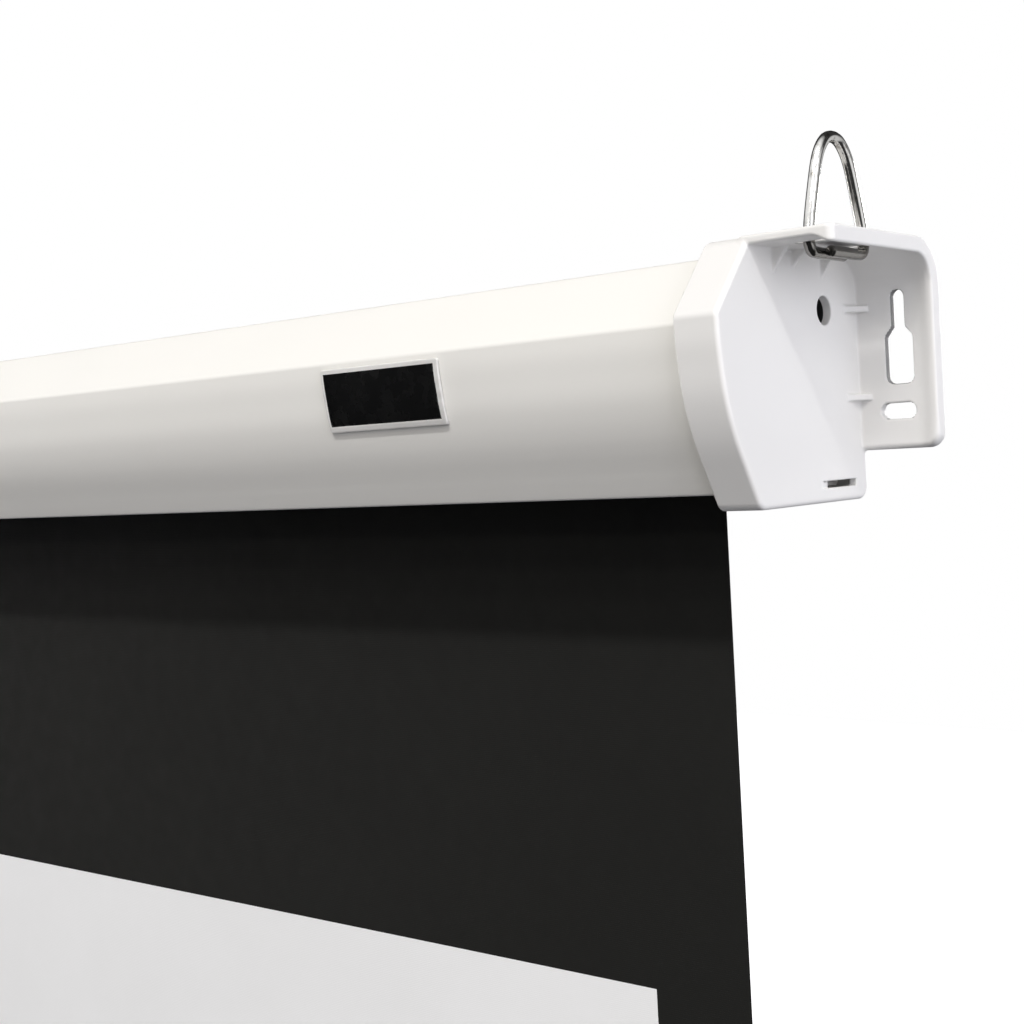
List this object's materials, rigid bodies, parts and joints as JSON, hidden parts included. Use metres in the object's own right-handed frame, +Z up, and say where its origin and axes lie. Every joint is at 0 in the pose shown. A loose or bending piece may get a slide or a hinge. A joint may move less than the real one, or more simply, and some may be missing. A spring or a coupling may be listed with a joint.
{
  "type": "pull down projector screen",
  "caption": "Hand-pulled spring roller projector screen in a white case with moulded end brackets, hanging rings, black borders and a weighted bottom bar.",
  "frame": {"origin": "middle of the line where the ceiling plane on top of the two brackets meets the wall plane behind them", "axes": "+X along the screen, to the right as seen from the room; -Y out of the wall towards the viewer; +Z up. Rest pose: screen pulled fully down"},
  "size_m": [2.0702, 0.0851, 1.4453],
  "materials": {
    "case_paint": "gloss white powder coat",
    "cap_plastic": "satin moulded white",
    "ring_chrome": "bright plated wire",
    "zinc_steel": "zinc plated",
    "spring_steel": "oiled",
    "tube_aluminium": "mill finish",
    "nylon": "natural nylon",
    "grey_plastic": "moulded",
    "bar_paint": "satin black",
    "black_plastic": "moulded",
    "screen_white": "matt white face",
    "screen_black": "black coated",
    "bumper_rubber": "moulded",
    "badge": "printed badge, left bare"
  },
  "bodies": {
    "case": {"housing_case": "case_paint", "label_plate": "badge", "spring_rod": "spring_steel", "spring_anchor": "grey_plastic", "torsion_spring": "spring_steel", "lock_ratchet": "zinc_steel", "idler_bush": "nylon", "end_cap_right": "cap_plastic", "end_cap_left": "cap_plastic", "roller_bracket_right": "zinc_steel", "roller_bracket_left": "zinc_steel", "cap_screw_right": "zinc_steel", "cap_screw_left": "zinc_steel", "bracket_screw_front_right": "zinc_steel", "bracket_screw_front_left": "zinc_steel", "bracket_screw_rear_right": "zinc_steel", "bracket_screw_rear_left": "zinc_steel", "case_screw_right": "zinc_steel", "case_screw_left": "zinc_steel"},
    "roller": {"roller_tube": "tube_aluminium", "fabric_spline": "black_plastic", "fabric_roll": "screen_black", "pawl_carrier": "grey_plastic", "pawl_pin_upper": "zinc_steel", "pawl_pin_lower": "zinc_steel", "spring_driver": "grey_plastic", "idler_plug": "grey_plastic", "idler_pin": "zinc_steel"},
    "pawl_upper": {"lock_pawl_upper": "zinc_steel"},
    "pawl_lower": {"lock_pawl_lower": "zinc_steel"},
    "drop": {"screen_fabric": "screen_white", "fabric_hem": "screen_black", "hem_rod": "zinc_steel", "weight_bar": "bar_paint", "weight_rod": "spring_steel", "weight_bar_cap_right": "black_plastic", "weight_bar_cap_left": "black_plastic", "stop_bumper_right": "bumper_rubber", "stop_bumper_left": "bumper_rubber", "handle_base": "black_plastic", "handle_screw_right": "zinc_steel", "handle_screw_left": "zinc_steel"},
    "handle": {"pull_handle": "black_plastic"},
    "ring_right": {"hanging_ring_right": "ring_chrome"},
    "ring_left": {"hanging_ring_left": "ring_chrome"}
  },
  "joints": [
    {"name": "fabric_travel", "type": "slide", "parent": "case", "child": "drop", "axis": [0, 0, 1], "range_m": [0, 1.2565], "deforming": ["screen_fabric"]},
    {"name": "roller_spin", "type": "hinge", "parent": "case", "child": "roller", "pos_m": [0, -0.043, -0.041], "axis": [1, 0, 0], "range_deg": [0, 3241]},
    {"name": "pawl_upper_swing", "type": "hinge", "parent": "roller", "child": "pawl_upper", "pos_m": [0.9918, -0.05463, -0.03286], "axis": [1, 0, 0], "range_deg": [-10.5, 0]},
    {"name": "pawl_lower_swing", "type": "hinge", "parent": "roller", "child": "pawl_lower", "pos_m": [0.9918, -0.03137, -0.04915], "axis": [1, 0, 0], "range_deg": [-10.5, 0]},
    {"name": "handle_swing", "type": "hinge", "parent": "drop", "child": "handle", "pos_m": [0, -0.023, -1.374], "axis": [1, 0, 0], "range_deg": [-85, 85]},
    {"name": "ring_right_swing", "type": "hinge", "parent": "case", "child": "ring_right", "pos_m": [1.0218, -0.04, -0.0054], "axis": [0, 1, 0], "range_deg": [-18, 18]},
    {"name": "ring_left_swing", "type": "hinge", "parent": "case", "child": "ring_left", "pos_m": [-1.0218, -0.04, -0.0054], "axis": [0, 1, 0], "range_deg": [-18, 18]}
  ],
  "couplings": [
    {"joint": "roller_spin", "follows": "fabric_travel", "rad_per_m": 45.005}
  ]
}
